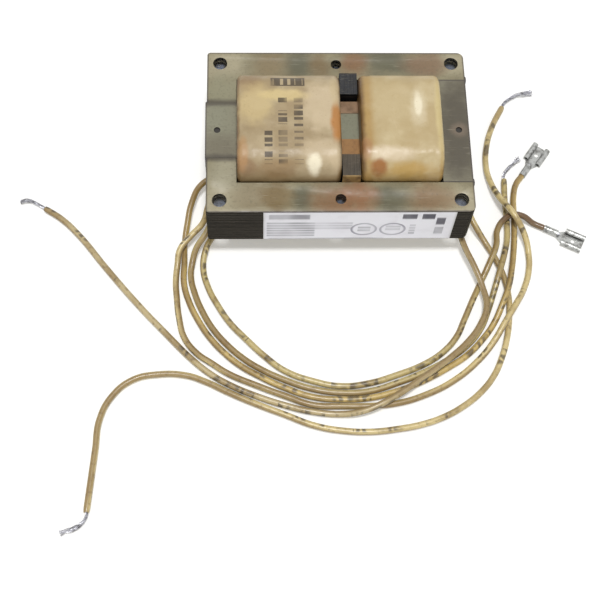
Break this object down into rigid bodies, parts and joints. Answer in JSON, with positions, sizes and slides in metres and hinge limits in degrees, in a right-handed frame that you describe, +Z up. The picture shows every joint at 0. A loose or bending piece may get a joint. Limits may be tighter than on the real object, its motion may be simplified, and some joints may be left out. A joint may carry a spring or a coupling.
{
  "type": "metal halide lamp ballast",
  "caption": "Open core-and-coil lamp ballast: lamination stacks welded round wrapped coils with magnetic shunts, mounting holes through the outer legs and flying leads.",
  "frame": {"origin": "on the surface that the coils stand on, under the middle of the core's box, leads not counted", "axes": "+X from the tongue end to the crossbar end, +Y away from the label, +Z up through the holes"},
  "size_m": [0.2132, 0.1755, 0.0412],
  "materials": {
    "leg_steel": "heat-tinted lamination steel under varnish, satin",
    "centre_steel": "dark lamination steel under varnish, satin",
    "weld": "dark weld bead, rough",
    "label": "off-white label, matt",
    "liner": "brown insulation paper, varnished",
    "tube": "brown pressboard",
    "copper": "enamelled copper wire",
    "wrap": "tan insulation wrap under glossy varnish",
    "shunt_steel": "dark blue-grey lamination steel",
    "shunt_paper": "yellowish insulation paper",
    "lead_sleeve": "tan-gold lead insulation, semi-gloss",
    "tinned_strands": "tinned copper strands",
    "tinned_sheet": "tin-plated brass sheet"
  },
  "bodies": {
    "root": {"back_leg_stack": "leg_steel", "front_leg_stack": "leg_steel", "centre_leg_stack": "centre_steel", "seam_welds": "weld", "label": "label", "back_leg_liner": "liner", "front_leg_liner": "liner", "primary_core_tube": "tube", "secondary_core_tube": "tube", "primary_winding": "copper", "secondary_winding": "copper", "primary_wrap": "wrap", "secondary_wrap": "wrap", "back_shunt": "shunt_steel", "front_shunt": "shunt_steel", "back_shunt_paper": "shunt_paper", "front_shunt_paper": "shunt_paper", "line_lead_a": "lead_sleeve", "line_lead_b": "lead_sleeve", "capacitor_lead_a": "lead_sleeve", "capacitor_lead_b": "lead_sleeve", "common_lead": "lead_sleeve", "lamp_lead": "lead_sleeve", "line_lead_a_strands": "tinned_strands", "line_lead_b_strands": "tinned_strands", "capacitor_lead_a_strands": "tinned_strands", "capacitor_lead_b_strands": "tinned_strands", "common_lead_strands": "tinned_strands", "lamp_lead_strands": "tinned_strands", "capacitor_terminal_a": "tinned_sheet", "capacitor_terminal_b": "tinned_sheet"}
  },
  "joints": []
}
